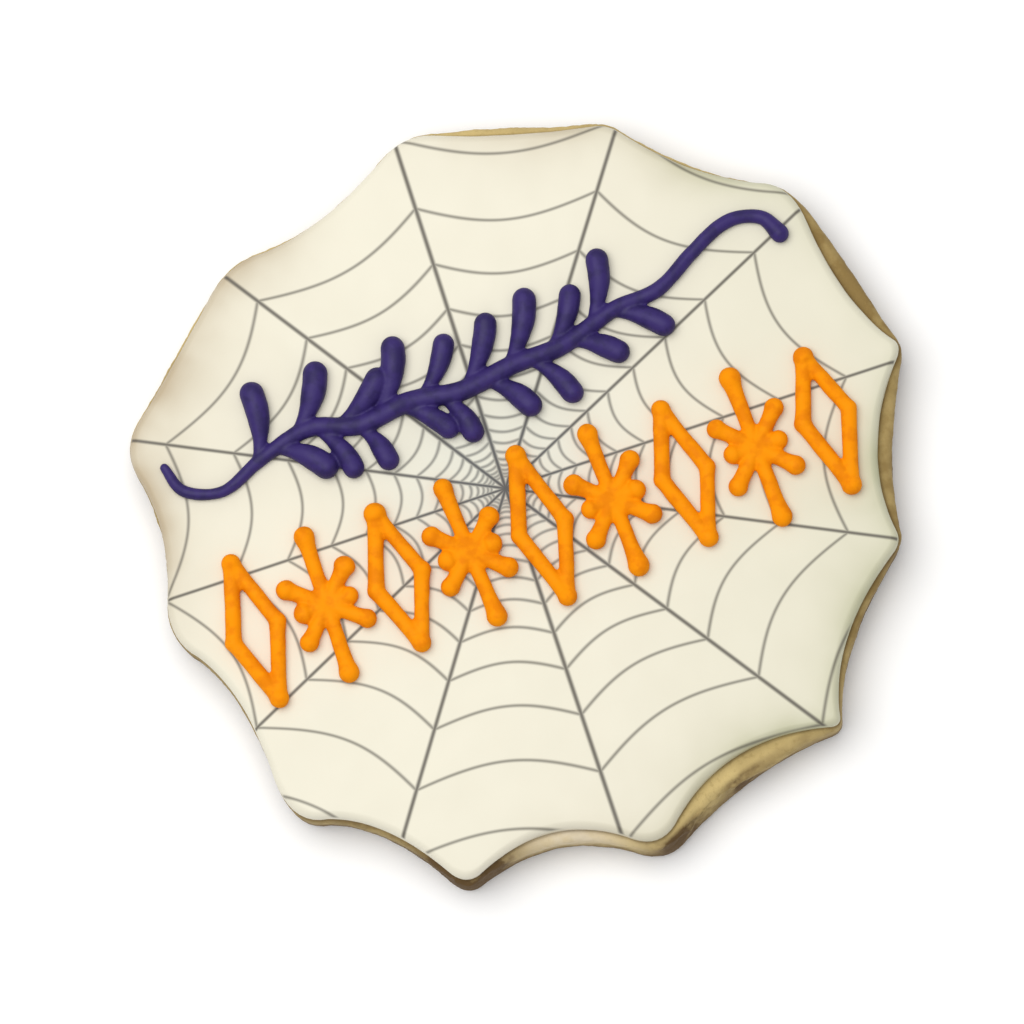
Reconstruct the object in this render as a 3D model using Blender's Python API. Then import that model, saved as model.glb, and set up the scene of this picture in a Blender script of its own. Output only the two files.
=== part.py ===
"""Iced web-shaped sugar cookie with a piped purple garland and a row of piped orange motifs.

Units are metres, +Z is up, the cookie lies flat and its underside is at z = 0.
+X runs to the right and +Y to the top of the decorated face.
"""

import math
import random

import bmesh
import bpy
from mathutils import Matrix, Vector

MM = 0.001

# Layers, from the table up
BISCUIT_THICK = 7.0 * MM
BISCUIT_EDGE = 1.1 * MM
ICING_THICK = 1.7 * MM
ICING_EDGE = 0.6 * MM
SEAM = 0.3 * MM

# Outline: twelve tips, each with its angle in degrees, how far the icing's
# corner reaches, how much further the biscuit's corner reaches, and the length
# of its rounding
TIPS = (
    (21.9, 54.3 * MM, 0.2 * MM, 1.7 * MM),
    (49.2, 55.2 * MM, 0.2 * MM, 4.5 * MM),
    (76.2, 51.3 * MM, 0.5 * MM, 1.7 * MM),
    (107.0, 50.9 * MM, 0.2 * MM, 4.0 * MM),
    (139.6, 49.1 * MM, 0.4 * MM, 4.8 * MM),
    (172.4, 51.8 * MM, 0.2 * MM, 4.8 * MM),
    (201.1, 48.7 * MM, 0.2 * MM, 6.0 * MM),
    (235.2, 51.1 * MM, 0.2 * MM, 5.8 * MM),
    (263.0, 50.3 * MM, 1.0 * MM, 2.4 * MM),
    (292.7, 49.2 * MM, 1.3 * MM, 4.2 * MM),
    (325.2, 51.3 * MM, 0.2 * MM, 1.4 * MM),
    (353.9, 50.4 * MM, 0.2 * MM, 1.5 * MM),
)
# Sides: how far the icing's side sinks behind the straight line between its
# tips, how much further out the biscuit shows there, and how far along the side
# that is; the first side follows the first tip
SIDES = (
    (2.1 * MM, 2.0 * MM, 0.35),
    (2.1 * MM, 0.2 * MM, 0.43),
    (0.7 * MM, 0.9 * MM, 0.50),
    (2.7 * MM, 0.1 * MM, 0.60),
    (0.3 * MM, 0.2 * MM, 0.50),
    (2.9 * MM, 0.1 * MM, 0.44),
    (3.6 * MM, 0.0 * MM, 0.32),
    (3.6 * MM, 0.0 * MM, 0.35),
    (5.0 * MM, 0.5 * MM, 0.51),
    (4.6 * MM, 2.6 * MM, 0.49),
    (2.8 * MM, 0.7 * MM, 0.40),
    (3.2 * MM, 1.8 * MM, 0.45),
)
SIDE_STEPS = 8
TIP_STEPS = 4

# Piped strings of icing: the height of the centre line over the face in half
# widths, the number of sides, and where the rounded ends narrow, in degrees
STRING_LIFT = 0.42
STRING_SIDES = 8
END_ANGLES = (35.0, 72.0)

# Purple garland: points of its stem, as x, y and half width in millimetres
STEM = (
    (-45.4, 4.4, 0.6),
    (-42.8, 1.3, 0.75),
    (-37.6, 1.3, 0.8),
    (-32.6, 5.6, 0.95),
    (-26.6, 9.4, 1.15),
    (-20.0, 9.8, 1.3),
    (-13.6, 12.8, 1.35),
    (-6.8, 14.2, 1.35),
    (0.0, 17.6, 1.3),
    (6.6, 20.2, 1.25),
    (13.0, 24.8, 1.1),
    (18.8, 27.4, 1.0),
    (23.0, 32.0, 0.95),
    (27.6, 36.2, 0.95),
    (32.0, 36.8, 0.95),
    (34.6, 34.6, 1.25),
)
STEM_STEPS = 3
# Its teardrop leaves, on alternate sides of the stem: their first and last
# place along it, their angle to it and curl in degrees, and their sizes
LEAF_COUNT = 18
LEAF_FIRST = 0.19
LEAF_LAST = 0.66
LEAF_TURN = 54.0
LEAF_TURN_SPREAD = 6.0
LEAF_CURL = 38.0
LEAF_LONG_UPPER = 8.8 * MM
LEAF_LONG_LOWER = 7.0 * MM
LEAF_LONG_SPREAD = 0.1
LEAF_HALF = 1.55 * MM
LEAF_HALF_SPREAD = 0.08
LEAF_STEPS = 6
# A leaf's half width at its root, as a share of its full one, and how far along
# it is at its full width
LEAF_ROOT = 0.42
LEAF_FULL_AT = 0.85
GARLAND_SEED = 5

# Orange row: lozenges and starbursts in turn, along a rising line
ROW_FIRST = (-33.4 * MM, -17.0 * MM, 0.0)
ROW_LAST = (40.6 * MM, 9.9 * MM, 0.0)
ROW_COUNT = 9
ROW_HALF_TALL = 9.3 * MM
LOZENGE_HALF_WIDE = 3.1 * MM
# Rays of a starburst: degrees from upright and reach
BURST_RAYS = ((0.0, 9.2 * MM), (47.0, 5.4 * MM), (-47.0, 5.4 * MM), (90.0, 3.1 * MM))
BURST_TURN_SPREAD = 4.0
# A string's half width, that of the blobs at its ends, and how far along it
# the blobs have narrowed
STRING_HALF = 1.02 * MM
BLOB_HALF = 1.42 * MM
BLOB_LONG = 0.17
# A blob at a lozenge's side is smaller than at its top, as a share, and each
# later string of a motif is a little fuller, so that no two are alike
SIDE_BLOB = 0.84
LATER_BLOB = 0.97
LATER_STRING = 0.02
# How far hand piping strays, as shares
SIZE_SPREAD = 0.05
CORNER_SPREAD = 0.08
BLOB_SPREAD = 0.07
ROW_SEED = 12

SHARP_ANGLE = 50.0
WELD = 0.001 * MM
CUTTER_SIZE = 120.0 * MM


def clear_scene():
    for item in list(bpy.data.objects):
        bpy.data.objects.remove(item)


def collection(name):
    made = bpy.data.collections.new(name)
    bpy.context.scene.collection.children.link(made)
    return made


def material(name, colour, roughness):
    made = bpy.data.materials.new(name)
    made.use_nodes = True
    shader = made.node_tree.nodes["Principled BSDF"]
    shader.inputs["Base Color"].default_value = (*colour, 1.0)
    shader.inputs["Roughness"].default_value = roughness
    shader.inputs["Metallic"].default_value = 0.0
    return made


def polar(angle, reach):
    turn = math.radians(angle)
    return Vector((reach * math.cos(turn), reach * math.sin(turn), 0.0))


def side_point(start, end, hollow, deepest, share):
    """A point of the curve that bends from start to end round one guide point."""
    along = end - start
    inward = Vector((-along.y, along.x, 0.0)).normalized()
    guide = start + along * deepest + inward * hollow * 2.0
    near = start.lerp(guide, share)
    far = guide.lerp(end, share)
    return near.lerp(far, share)


def outline(corners, hollows):
    """Closed outline with hollow sides and rounded tips, counter-clockwise."""
    sides = []
    for number, start in enumerate(corners):
        following = (number + 1) % len(corners)
        end = corners[following]
        long = (end - start).length
        first = TIPS[number][3] / long
        last = 1.0 - TIPS[following][3] / long
        side = []
        for step in range(SIDE_STEPS + 1):
            share = first + (last - first) * step / SIDE_STEPS
            side.append(side_point(start, end, hollows[number], SIDES[number][2], share))
        sides.append(side)
    points = []
    for number, corner in enumerate(corners):
        before = sides[number - 1][-1]
        after = sides[number][0]
        for step in range(1, TIP_STEPS):
            share = step / TIP_STEPS
            near = before.lerp(corner, share)
            far = corner.lerp(after, share)
            points.append(near.lerp(far, share))
        points.extend(sides[number])
    return points


def middle(points):
    """The middle of the box round an outline."""
    across = [point.x for point in points]
    along = [point.y for point in points]
    return Vector((min(across) + max(across), min(along) + max(along), 0.0)) / 2.0


def cookie_outlines():
    """The outlines of the icing and of the biscuit, centred on the biscuit."""
    icing_corners = [polar(angle, reach) for angle, reach, _, _ in TIPS]
    biscuit_corners = [polar(angle, reach + more) for angle, reach, more, _ in TIPS]
    icing = outline(icing_corners, [sink for sink, _, _ in SIDES])
    biscuit = outline(biscuit_corners, [sink - shelf for sink, shelf, _ in SIDES])
    shift = middle(biscuit)
    return [point - shift for point in icing], [point - shift for point in biscuit]


def new_object(name, data, group):
    made = bpy.data.objects.new(name, data)
    group.objects.link(made)
    return made


def soften(mesh):
    mesh.shade_smooth()
    mesh.set_sharp_from_angle(angle=math.radians(SHARP_ANGLE))


def welded_mesh(curve_object):
    """The curve as a mesh with its loose caps welded on; the curve goes."""
    bpy.context.view_layer.update()
    graph = bpy.context.evaluated_depsgraph_get()
    mesh = bpy.data.meshes.new_from_object(curve_object.evaluated_get(graph))
    mesh.transform(curve_object.matrix_world)
    work = bmesh.new()
    work.from_mesh(mesh)
    bmesh.ops.remove_doubles(work, verts=work.verts, dist=WELD)
    bmesh.ops.recalc_face_normals(work, faces=work.faces)
    work.to_mesh(mesh)
    work.free()
    bpy.data.objects.remove(curve_object)
    return mesh


def slab(name, points, bottom, thick, edge, group, look):
    """A flat layer of the cookie with rounded top and bottom edges."""
    curve = bpy.data.curves.new(name, "CURVE")
    curve.dimensions = "2D"
    curve.fill_mode = "BOTH"
    curve.extrude = thick / 2.0 - edge
    curve.bevel_depth = edge
    curve.bevel_resolution = 1
    curve.offset = -edge
    spline = curve.splines.new("POLY")
    spline.points.add(len(points) - 1)
    for target, point in zip(spline.points, points):
        target.co = (point.x, point.y, 0.0, 1.0)
    spline.use_cyclic_u = True
    guide = new_object(name + "_line", curve, group)
    guide.location.z = bottom + thick / 2.0
    layer = new_object(name, welded_mesh(guide), group)
    layer.data.materials.append(look)
    soften(layer.data)


def smooth_run(knots, steps):
    """A smooth run through knots that each hold x, y and half width."""
    rows = [Vector(knot) * MM for knot in knots]
    rows = [rows[0] * 2.0 - rows[1]] + rows + [rows[-1] * 2.0 - rows[-2]]
    points = []
    for number in range(1, len(rows) - 2):
        a, b, c, d = rows[number - 1:number + 3]
        for step in range(steps):
            t = step / steps
            bend = (a * 2.0 - b * 5.0 + c * 4.0 - d) * t ** 2
            twist = (b * 3.0 - a - c * 3.0 + d) * t ** 3
            points.append((b * 2.0 + (c - a) * t + bend + twist) / 2.0)
    points.append(rows[-2])
    return points


def end_rows(tip, inner):
    """Rows that round off a string past its tip: x, y, half width and rise."""
    away = (tip - inner).to_2d().normalized() * tip.z
    rows = []
    for angle in END_ANGLES:
        turn = math.radians(angle)
        spot = tip.to_2d() + away * math.sin(turn)
        rows.append((spot.x, spot.y, tip.z * math.cos(turn), STRING_LIFT * tip.z))
    return rows


def string_rows(points):
    """A string's rows of x, y, half width and rise, with its ends rounded."""
    run = [(point.x, point.y, point.z, STRING_LIFT * point.z) for point in points]
    return end_rows(points[0], points[1])[::-1] + run + end_rows(points[-1], points[-2])


def string_object(name, points, level, group):
    """A piped string along points that each hold x, y and half width."""
    curve = bpy.data.curves.new(name, "CURVE")
    curve.dimensions = "3D"
    curve.bevel_depth = 1.0
    curve.bevel_resolution = STRING_SIDES // 2 - 2
    curve.use_fill_caps = True
    rows = string_rows(points)
    spline = curve.splines.new("POLY")
    spline.points.add(len(rows) - 1)
    for target, (x, y, half, rise) in zip(spline.points, rows):
        target.co = (x, y, level + rise, 1.0)
        target.radius = half
    mesh = welded_mesh(new_object(name + "_line", curve, group))
    return new_object(name, mesh, group)


def boolean(target, operation, other):
    modifier = target.modifiers.new(operation.title(), "BOOLEAN")
    modifier.operation = operation
    modifier.solver = "EXACT"
    modifier.object = other


def piped_piece(name, strings, level, groups, look):
    """Strings of icing that run together, cut flat where they lie on the face."""
    cookie, helpers = groups
    parts = []
    for number, points in enumerate(strings):
        parts.append(string_object(f"{name}_string_{number}", points, level, helpers))
    below = (0.0, 0.0, level - CUTTER_SIZE / 2.0)
    bpy.ops.mesh.primitive_cube_add(size=CUTTER_SIZE, location=below)
    block = bpy.context.active_object
    whole = parts[0]
    for other in parts[1:]:
        boolean(whole, "UNION", other)
    boolean(whole, "DIFFERENCE", block)
    bpy.context.view_layer.update()
    graph = bpy.context.evaluated_depsgraph_get()
    mesh = bpy.data.meshes.new_from_object(whole.evaluated_get(graph))
    for helper in parts + [block]:
        bpy.data.objects.remove(helper)
    new_object(name, mesh, cookie)
    mesh.materials.append(look)
    soften(mesh)


def spread(draw, share):
    """A factor that strays from one by up to the share."""
    return 1.0 + draw.uniform(-share, share)


def leaf(root, heading, length, half, side):
    """A teardrop of icing: thin where it leaves the stem, fat at its end, curled."""
    points = []
    spot = root.to_2d()
    for step in range(LEAF_STEPS + 1):
        share = step / LEAF_STEPS
        fullness = math.sin(math.pi / 2.0 * min(1.0, share / LEAF_FULL_AT)) ** 2
        points.append(Vector((spot.x, spot.y, half * (LEAF_ROOT + (1.0 - LEAF_ROOT) * fullness))))
        turn = heading + side * math.radians(LEAF_CURL) * (share - 0.5)
        spot = spot + Vector((math.cos(turn), math.sin(turn))) * length / LEAF_STEPS
    return points


def garland_strings(draw):
    """The stem and its leaves, which grow from it on alternate sides."""
    stem = smooth_run(STEM, STEM_STEPS)
    strings = [stem]
    for number in range(LEAF_COUNT):
        share = LEAF_FIRST + (LEAF_LAST - LEAF_FIRST) * number / (LEAF_COUNT - 1)
        whole, part = divmod(share * (len(stem) - 1), 1.0)
        before = stem[int(whole)]
        after = stem[int(whole) + 1]
        root = before.lerp(after, part)
        along = after - before
        side = 1.0 if number % 2 == 0 else -1.0
        heading = math.atan2(along.y, along.x)
        heading += side * math.radians(LEAF_TURN + draw.uniform(-LEAF_TURN_SPREAD, LEAF_TURN_SPREAD))
        length = LEAF_LONG_UPPER if side > 0.0 else LEAF_LONG_LOWER
        length *= spread(draw, LEAF_LONG_SPREAD)
        half = LEAF_HALF * spread(draw, LEAF_HALF_SPREAD)
        strings.append(leaf(root, heading, length, half, side))
    return strings


def straight_string(start, end, start_half, end_half, half):
    """A string between two points with a blob of icing at each end."""
    points = []
    rows = ((0.0, start_half), (BLOB_LONG, half), (1.0 - BLOB_LONG, half), (1.0, end_half))
    for share, width in rows:
        spot = start.lerp(end, share)
        points.append(Vector((spot.x, spot.y, width)))
    return points


def lozenge(centre, up, across, draw):
    tall = ROW_HALF_TALL * spread(draw, SIZE_SPREAD)
    wide = LOZENGE_HALF_WIDE * spread(draw, SIZE_SPREAD)
    corners = (
        centre + up * tall,
        centre + across * wide + up * tall * draw.uniform(-CORNER_SPREAD, CORNER_SPREAD),
        centre - up * tall,
        centre - across * wide + up * tall * draw.uniform(-CORNER_SPREAD, CORNER_SPREAD),
    )
    blobs = [BLOB_HALF * share * spread(draw, BLOB_SPREAD) for share in (1.0, SIDE_BLOB, 1.0, SIDE_BLOB)]
    strings = []
    for number in range(4):
        following = (number + 1) % 4
        half = STRING_HALF * (1.0 + LATER_STRING * number)
        ends = (corners[number], corners[following], blobs[number], blobs[following] * LATER_BLOB)
        strings.append(straight_string(*ends, half))
    return strings


def starburst(centre, up, across, draw):
    strings = []
    for number, (angle, reach) in enumerate(BURST_RAYS):
        turn = math.radians(angle + draw.uniform(-BURST_TURN_SPREAD, BURST_TURN_SPREAD))
        way = up * math.cos(turn) + across * math.sin(turn)
        reach *= spread(draw, SIZE_SPREAD)
        start_half = BLOB_HALF * LATER_BLOB * spread(draw, BLOB_SPREAD)
        end_half = BLOB_HALF * LATER_BLOB * spread(draw, BLOB_SPREAD)
        half = STRING_HALF * (1.0 + LATER_STRING * number)
        run = straight_string(centre - way * reach, centre + way * reach, start_half, end_half, half)
        strings.append(run)
    return strings


def build():
    clear_scene()
    groups = (collection("iced_web_cookie"), collection("helpers"))
    biscuit_look = material("biscuit", (0.46, 0.30, 0.12), 0.85)
    icing_look = material("icing_white", (0.87, 0.83, 0.70), 0.45)
    purple_look = material("icing_purple", (0.045, 0.022, 0.15), 0.5)
    orange_look = material("icing_orange", (0.95, 0.29, 0.005), 0.5)

    icing_line, biscuit_line = cookie_outlines()
    icing_bottom = BISCUIT_THICK + SEAM
    slab("biscuit", biscuit_line, 0.0, BISCUIT_THICK, BISCUIT_EDGE, groups[0], biscuit_look)
    slab("icing", icing_line, icing_bottom, ICING_THICK, ICING_EDGE, groups[0], icing_look)

    level = icing_bottom + ICING_THICK + SEAM
    strings = garland_strings(random.Random(GARLAND_SEED))
    piped_piece("garland", strings, level, groups, purple_look)

    draw = random.Random(ROW_SEED)
    first = Vector(ROW_FIRST)
    last = Vector(ROW_LAST)
    across = (last - first).normalized()
    up = Matrix.Rotation(math.pi / 2.0, 3, "Z") @ across
    for number in range(ROW_COUNT):
        centre = first.lerp(last, number / (ROW_COUNT - 1))
        motif = lozenge if number % 2 == 0 else starburst
        name = f"{motif.__name__}_{number // 2 + 1}"
        piped_piece(name, motif(centre, up, across, draw), level, groups, orange_look)


build()
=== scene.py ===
"""Builds the finished look of an iced web cookie round its plain solids.

The cookie lies flat with its decorated face up. Units are metres, +Z is up, +X runs
to the right of the decoration and +Y to its top.
"""

import math
import random

import bmesh
import bpy
from bpy.props import FloatProperty, FloatVectorProperty, IntProperty, PointerProperty
from mathutils import Matrix, Vector, kdtree


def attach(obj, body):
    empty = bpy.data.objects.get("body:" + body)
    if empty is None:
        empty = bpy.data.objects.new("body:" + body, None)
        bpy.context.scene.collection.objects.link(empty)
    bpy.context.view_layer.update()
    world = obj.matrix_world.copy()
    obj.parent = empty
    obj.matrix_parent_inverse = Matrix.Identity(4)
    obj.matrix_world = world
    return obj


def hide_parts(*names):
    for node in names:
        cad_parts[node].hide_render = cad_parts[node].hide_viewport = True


bl_info = {
    "name": "Iced Web Cookie",
    "version": (1, 0, 0),
    "blender": (4, 5, 0),
    "location": "View3D > Sidebar > Cookie",
    "description": "Bakes, ices and pipes a web-shaped sugar cookie",
    "category": "Object",
}

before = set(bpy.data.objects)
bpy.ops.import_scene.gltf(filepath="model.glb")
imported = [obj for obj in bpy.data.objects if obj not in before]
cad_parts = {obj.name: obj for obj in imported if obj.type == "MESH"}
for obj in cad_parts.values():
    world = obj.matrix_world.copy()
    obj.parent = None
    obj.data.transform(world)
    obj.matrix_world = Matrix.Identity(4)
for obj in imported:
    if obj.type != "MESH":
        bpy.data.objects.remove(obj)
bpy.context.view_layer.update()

MM = 0.001

# Outline: twelve tips, each with its angle in degrees, how far the icing's
# corner reaches, how much further the biscuit's corner reaches, and the length
# of its rounding
TIPS = (
    (21.9, 54.3 * MM, 0.2 * MM, 1.7 * MM),
    (49.2, 55.2 * MM, 0.2 * MM, 4.5 * MM),
    (76.2, 51.3 * MM, 0.5 * MM, 1.7 * MM),
    (107.0, 50.9 * MM, 0.2 * MM, 4.0 * MM),
    (139.6, 49.1 * MM, 0.4 * MM, 4.8 * MM),
    (172.4, 51.8 * MM, 0.2 * MM, 4.8 * MM),
    (201.1, 48.7 * MM, 0.2 * MM, 6.0 * MM),
    (235.2, 51.1 * MM, 0.2 * MM, 5.8 * MM),
    (263.0, 50.3 * MM, 1.0 * MM, 2.4 * MM),
    (292.7, 49.2 * MM, 1.3 * MM, 4.2 * MM),
    (325.2, 51.3 * MM, 0.2 * MM, 1.4 * MM),
    (353.9, 50.4 * MM, 0.2 * MM, 1.5 * MM),
)
# Sides: how far the icing's side sinks behind the straight line between its
# tips, how much further out the biscuit shows there, and how far along the side
# that is; the first side follows the first tip
SIDES = (
    (2.1 * MM, 2.0 * MM, 0.35),
    (2.1 * MM, 0.2 * MM, 0.43),
    (0.7 * MM, 0.9 * MM, 0.50),
    (2.7 * MM, 0.1 * MM, 0.60),
    (0.3 * MM, 0.2 * MM, 0.50),
    (2.9 * MM, 0.1 * MM, 0.44),
    (3.6 * MM, 0.0 * MM, 0.32),
    (3.6 * MM, 0.0 * MM, 0.35),
    (5.0 * MM, 0.5 * MM, 0.51),
    (4.6 * MM, 2.6 * MM, 0.49),
    (2.8 * MM, 0.7 * MM, 0.40),
    (3.2 * MM, 1.8 * MM, 0.45),
)
SIDE_STEPS = 50
TIP_STEPS = 10
# Radius of the circle that the biscuit and the icing start from
START_RADIUS = 50.0 * MM

# Marks round the biscuit and round the icing: direction and spread in degrees, and strength; one above 1
# covers its middle all over
# Biscuit's darker places: partly browning, partly painted shade
BROWNED_AND_SHADED = ((4.0, 26.0, 0.8), (37.0, 15.0, 0.9), (339.0, 12.0, 0.5), (88.0, 8.0, 0.3))
# Dark patches near the biscuit's rim: partly scorching, partly painted shade on walls turned from the
# light
SCORCHED_AND_SHADED = (
    (246.0, 12.0, 0.6),
    (263.0, 6.0, 2.0),
    (296.0, 4.5, 1.3),
    (309.0, 3.5, 1.0),
    (320.0, 8.0, 0.4),
)
WORN = ((263.0, 5.0, 0.6), (301.0, 8.0, 1.0))
PALE = ((279.0, 9.0, 0.9),)
# Icing's rim: darker where the icing is thin, and painted shade along it
THIN_AND_SHADED_RIM = (
    (356.0, 28.0, 0.55),
    (60.0, 16.0, 0.65),
    (88.0, 14.0, 0.7),
    (139.0, 12.0, 0.7),
    (165.0, 22.0, 0.85),
    (188.0, 12.0, 0.4),
    (308.0, 26.0, 0.65),
)
# Painted shade over the icing's face on its left and right
SHADED_FACE = ((168.0, 26.0, 0.26), (358.0, 16.0, 0.2))

# Purple garland: points of its stem, as x, y and half width in millimetres
STEM = (
    (-45.4, 4.4, 0.6),
    (-42.8, 1.3, 0.75),
    (-37.6, 1.3, 0.8),
    (-32.6, 5.6, 0.95),
    (-26.6, 9.4, 1.15),
    (-20.0, 9.8, 1.3),
    (-13.6, 12.8, 1.35),
    (-6.8, 14.2, 1.35),
    (0.0, 17.6, 1.3),
    (6.6, 20.2, 1.25),
    (13.0, 24.8, 1.1),
    (18.8, 27.4, 1.0),
    (23.0, 32.0, 0.95),
    (27.6, 36.2, 0.95),
    (32.0, 36.8, 0.95),
    (34.6, 34.6, 1.25),
)
# Where the rounded ends of a string narrow, in degrees
END_ANGLES = (15.0, 30.0, 45.0, 60.0, 72.0, 82.0)
# How many straight pieces bend a leaf in the solids, and how many each of them
# has here; its half width at the root as a share, and where it is fullest
LEAF_BENDS = 6
LEAF_FINE = 4
LEAF_ROOT = 0.42
LEAF_FULL_AT = 0.85
# How finely the stem is drawn here, and how finely in the solids, where its
# leaves' roots are placed
STEM_STEPS = 9
STEM_ROUGH_STEPS = 3
# How far hand piping strays: turns in degrees, the rest as shares
LEAF_TURN_SPREAD = 6.0
LEAF_LONG_SPREAD = 0.1
LEAF_HALF_SPREAD = 0.08
BURST_TURN_SPREAD = 4.0
SIZE_SPREAD = 0.05
CORNER_SPREAD = 0.08
BLOB_SPREAD = 0.07
# A blob at a lozenge's side is smaller than at its top, and each later string
# of a motif is a little fuller, as shares; how far along a string its blobs end
SIDE_BLOB = 0.84
LATER_BLOB = 0.97
LATER_STRING = 0.02
BLOB_LONG = 0.17
STRING_STEPS = 6
# Strings piped one over the other rise by a small step, and start again low
RISE_STEP = 0.05 * MM
RISE_STEPS = 3
# Rays of a starburst: degrees from upright and reach
BURST_RAYS = ((0.0, 9.2 * MM), (47.0, 5.4 * MM), (-47.0, 5.4 * MM), (90.0, 3.1 * MM))


def linear(red, green, blue):
    """The linear colour of one picked on screen, each part from 0 to 255."""
    parts = []
    for part in (red, green, blue):
        share = part / 255.0
        parts.append(((share + 0.055) / 1.055) ** 2.4 if share > 0.04 else share / 12.92)
    return tuple(parts)


def length_prop(name, description, default):
    """A setting that holds a length in metres."""
    return FloatProperty(
        name=name,
        description=description,
        default=default,
        unit="LENGTH",
        subtype="DISTANCE",
        precision=5,
    )


def angle_prop(name, description, degrees):
    """A setting that holds an angle, given here in degrees."""
    return FloatProperty(
        name=name, description=description, default=math.radians(degrees), subtype="ANGLE"
    )


def number_prop(name, description, default):
    """A setting that holds a plain number, such as a share."""
    return FloatProperty(name=name, description=description, default=default)


def count_prop(name, description, default, least=1):
    """A setting that holds a whole number."""
    return IntProperty(name=name, description=description, default=default, min=least)


def place_prop(name, description, default):
    """A setting that holds a place in metres."""
    return FloatVectorProperty(
        name=name, description=description, default=default, subtype="TRANSLATION", size=3
    )


def colour_prop(name, description, default):
    """A setting that holds a linear colour."""
    return FloatVectorProperty(
        name=name, description=description, default=default, subtype="COLOR", size=3, min=0.0, max=1.0
    )


class BiscuitSettings(bpy.types.PropertyGroup):
    """Sizes and colours of the baked biscuit."""

    thick: length_prop("Thickness", "Height of the biscuit", 7.0 * MM)
    edge: length_prop("Edge radius", "Rounding of its top and bottom rims", 1.1 * MM)
    crumb: length_prop("Crumb relief", "Depth of the fine crumb on its sides", 0.24 * MM)
    lump: length_prop("Lump relief", "Depth of the broad unevenness of its sides", 0.5 * MM)
    golden: colour_prop("Golden", "Colour of the baked top", linear(203, 180, 122))
    browned_and_shaded: colour_prop("Browned", "Colour where the oven browned it", linear(139, 115, 67))
    dark: colour_prop("Dark bake", "Colour of the lower rim and underside", linear(98, 76, 46))
    pale: colour_prop("Pale", "Colour where it stayed pale", linear(218, 204, 178))
    wear: length_prop("Wear", "How far its broken rims have crumbled at most", 1.8 * MM)


class IcingSettings(bpy.types.PropertyGroup):
    """Sizes and colours of the sheet of white icing."""

    top: length_prop("Top", "Height of the icing's face over the table", 9.15 * MM)
    sink: length_prop("Sink", "How far the icing goes into the biscuit's face", 0.12 * MM)
    wall: length_prop("Wall", "Height of the steep part of its rim", 0.75 * MM)
    roll: length_prop("Roll", "Width over which the rim rolls down", 1.1 * MM)
    ripple: length_prop("Ripple", "Depth of the soft unevenness of its face", 0.12 * MM)
    cream: colour_prop("Cream", "Colour of the icing", linear(227, 222, 203))
    # Colour of the thin rim, which also carries painted shade
    thin_and_shade: colour_prop("Thin rim", "Colour where the biscuit shows through", linear(184, 168, 140))
    # Painted shade: a greener tint of the rim on the right
    thin_and_shade_right: colour_prop("Thin right rim", "The same on the right", linear(176, 177, 141))
    rim_width: length_prop("Rim width", "Width of the thin band along its rim", 2.4 * MM)
    # Width over which the painted shade on the face fades
    face_shade_width: length_prop("Face width", "Width over which its face thins out", 11.0 * MM)
    # Painted shade: how much darker the right half is
    right_shade: number_prop("Right thinness", "How thin the right half is, as a share", 0.1)


class WebSettings(bpy.types.PropertyGroup):
    """The printed web: spokes and sagging threads, stretched a little one way."""

    centre: place_prop("Centre", "Where the spokes meet", (-1.07 * MM, 1.46 * MM, 0.0))
    turn: angle_prop("Turn", "Direction of the stretch and of one spoke", 18.0)
    long_reach: length_prop("Long reach", "Reach of the spokes along the stretch", 58.0 * MM)
    short_reach: length_prop("Short reach", "Reach of the spokes across the stretch", 48.5 * MM)
    lean: angle_prop("Lean", "How far the upright spokes lean to the right", 0.3)
    spokes: count_prop("Spokes", "Number of spokes", 12, least=3)
    ratio: number_prop("Ratio", "Reach of each thread over that of the next", 1.25)
    threads: count_prop("Threads", "Number of threads on each spoke", 16)
    sag: number_prop("Sag", "Sag of a thread as a share of its reach", 0.10)
    spoke_width: length_prop("Spoke width", "Width of a printed spoke", 0.46 * MM)
    thread_width: length_prop("Thread width", "Width of a printed thread", 0.36 * MM)
    bleed: length_prop("Bleed", "How far the ink bleeds to both sides of an edge", 0.2 * MM)
    spoke_strength: number_prop("Spoke strength", "How well a spoke covers the icing", 0.92)
    thread_strength: number_prop("Thread strength", "How well a thread covers the icing", 0.76)
    hub_fading: number_prop("Hub fading", "How much weaker the threads are at the hub", 0.1)
    ink: colour_prop("Ink", "Colour of the printed lines", linear(84, 79, 70))
    hub_ink: colour_prop("Hub ink", "Colour of the lines where they meet", linear(48, 50, 56))
    haze: colour_prop("Haze", "Colour between the close lines of the hub", linear(206, 210, 200))
    haze_strength: number_prop("Haze strength", "How well the haze covers the icing", 0.55)


class GarlandSettings(bpy.types.PropertyGroup):
    """The piped purple garland."""

    leaves: count_prop("Leaves", "Number of leaves", 18, least=2)
    long_upper: length_prop("Upper leaf", "Length of the leaves over the stem", 8.8 * MM)
    long_lower: length_prop("Lower leaf", "Length of the leaves under the stem", 7.0 * MM)
    leaf_half: length_prop("Leaf half width", "Half width of a leaf where it is fullest", 1.55 * MM)
    first: number_prop("First leaf", "Place of the first leaf as a share of the stem", 0.19)
    last: number_prop("Last leaf", "Place of the last leaf as a share of the stem", 0.66)
    turn: number_prop("Leaf turn", "Angle of a leaf to the stem in degrees", 54.0)
    curl: number_prop("Leaf curl", "How far a leaf curls in degrees", 38.0)
    seed: count_prop("Seed", "Seed of its unevenness", 5, least=0)
    purple: colour_prop("Purple", "Colour of the icing", linear(49, 34, 99))
    deep: colour_prop("Deep purple", "Colour in its uneven darker streaks", linear(37, 25, 81))
    roughness: number_prop("Roughness", "Roughness of its skin", 0.55)
    shine: number_prop("Shine", "Strength of its highlights", 0.3)


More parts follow.
